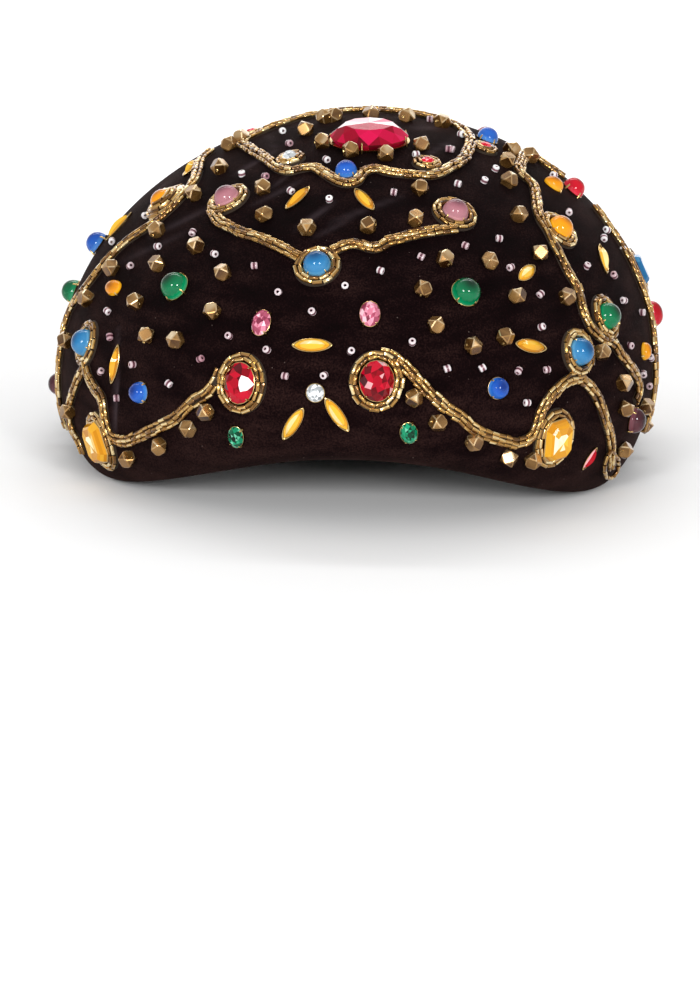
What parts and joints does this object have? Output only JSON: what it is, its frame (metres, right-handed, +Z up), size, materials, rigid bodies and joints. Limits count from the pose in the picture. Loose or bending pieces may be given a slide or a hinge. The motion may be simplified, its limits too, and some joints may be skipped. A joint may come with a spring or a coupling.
{
  "type": "toque",
  "caption": "Close-fitting velvet toque with an arched front, set with glass stones, nailheads and scrolling cords of bugle beads.",
  "frame": {"origin": "middle of the toque's footprint, on the plane that its rim rests on", "axes": "-Y to the front, +X to the wearer's left, +Z up to the top of the crown"},
  "size_m": [0.1901, 0.2195, 0.1094],
  "materials": {
    "black_velvet": "deep matte pile",
    "gold_bugles": "gold-lined glass",
    "ruby_glass": "polished",
    "topaz_glass": "polished",
    "green_glass": "polished",
    "emerald_glass": "polished",
    "sky_glass": "polished",
    "royal_glass": "polished",
    "pink_glass": "polished",
    "rose_glass": "polished",
    "amber_glass": "polished",
    "amethyst_glass": "polished",
    "red_glass": "polished"
  },
  "bodies": {
    "root": {"amber_left": "amber_glass", "amber_right": "amber_glass", "back_brow_cord": "gold_bugles", "back_brow_pink_left": "pink_glass", "back_brow_pink_right": "pink_glass", "back_brow_sky": "sky_glass", "back_green_left": "green_glass", "back_green_right": "green_glass", "back_ruby_left": "ruby_glass", "back_ruby_right": "ruby_glass", "back_temple_cord_left": "gold_bugles", "back_temple_cord_right": "gold_bugles", "back_temple_sky_left": "sky_glass", "back_temple_sky_right": "sky_glass", "back_topaz_left": "topaz_glass", "back_topaz_right": "topaz_glass", "brow_cord": "gold_bugles", "brow_pink_left": "pink_glass", "brow_pink_right": "pink_glass", "brow_sky": "sky_glass", "crest_royal": "royal_glass", "ear_amethyst_left": "amethyst_glass", "ear_cord_right": "gold_bugles", "ear_green_left": "green_glass", "ear_red_right": "red_glass", "ear_royal_left": "royal_glass", "ear_sky_right": "sky_glass", "emerald_left": "emerald_glass", "emerald_right": "emerald_glass", "green_left": "green_glass", "green_right": "green_glass", "rose_left": "rose_glass", "rose_right": "rose_glass", "royal_left": "royal_glass", "royal_right": "royal_glass", "ruby_left": "ruby_glass", "ruby_right": "ruby_glass", "side_amethyst": "amethyst_glass", "side_cord_left": "gold_bugles", "side_cord_right": "gold_bugles", "side_green": "green_glass", "side_red": "red_glass", "temple_cord_left": "gold_bugles", "temple_cord_right": "gold_bugles", "temple_sky_left": "sky_glass", "temple_sky_right": "sky_glass", "top_cord": "gold_bugles", "top_royal": "royal_glass", "top_ruby": "ruby_glass", "topaz_left": "topaz_glass", "topaz_right": "topaz_glass", "velvet_crown": "black_velvet"}
  },
  "joints": []
}
